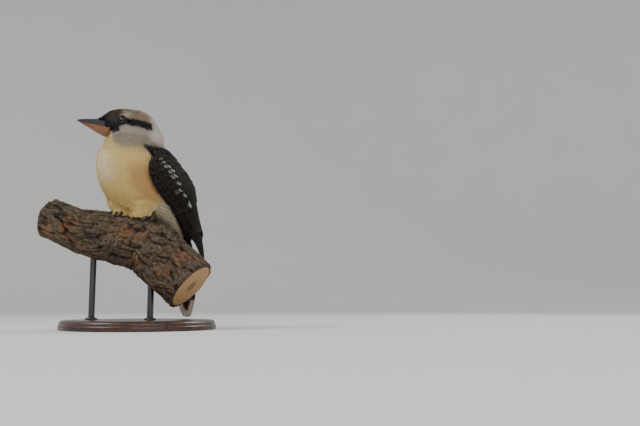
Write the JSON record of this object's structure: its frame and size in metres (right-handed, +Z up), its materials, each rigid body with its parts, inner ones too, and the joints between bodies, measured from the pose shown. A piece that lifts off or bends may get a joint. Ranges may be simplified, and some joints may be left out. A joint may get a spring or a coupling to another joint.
{
  "type": "perched laughing kookaburra display model",
  "caption": "Life-size still model of a perched kingfisher-like bird with folded wings on a short cut branch, held by rods above a round base.",
  "frame": {"origin": "centre of the round base's flat underside, on the floor", "axes": "+Z up; the bird's body faces -Y and its left side is +X"},
  "size_m": [0.2838, 0.244, 0.353],
  "materials": {
    "body_feathers": "soft matt plumage, off-white to buff, browner on crown, mask and back",
    "wing_feathers": "satin dark brown flight feathers with pale blue-grey spots on the coverts",
    "tail_feathers": "satin dark brown feathers barred with rufous, white tips",
    "eye": "wet gloss, dark brown",
    "dark_horn": "semi-gloss blue-black horn",
    "pale_horn": "semi-gloss orange horn, darker at the root",
    "foot_scales": "dull scaled skin",
    "bark": "rough furrowed bark, sawn ends",
    "stand_wood": "satin dark stained wood",
    "stand_metal": "satin black paint"
  },
  "bodies": {
    "root": {"torso": "body_feathers", "neck": "body_feathers", "head": "body_feathers", "leg_left": "body_feathers", "leg_right": "body_feathers", "wing_left": "wing_feathers", "wing_right": "wing_feathers", "tail": "tail_feathers", "eye_left": "eye", "eye_right": "eye", "bill_upper": "dark_horn", "bill_lower": "pale_horn", "foot_left": "foot_scales", "foot_right": "foot_scales", "perch": "bark", "stand_base": "stand_wood", "stand_rod_1": "stand_metal", "stand_rod_2": "stand_metal"}
  },
  "joints": []
}
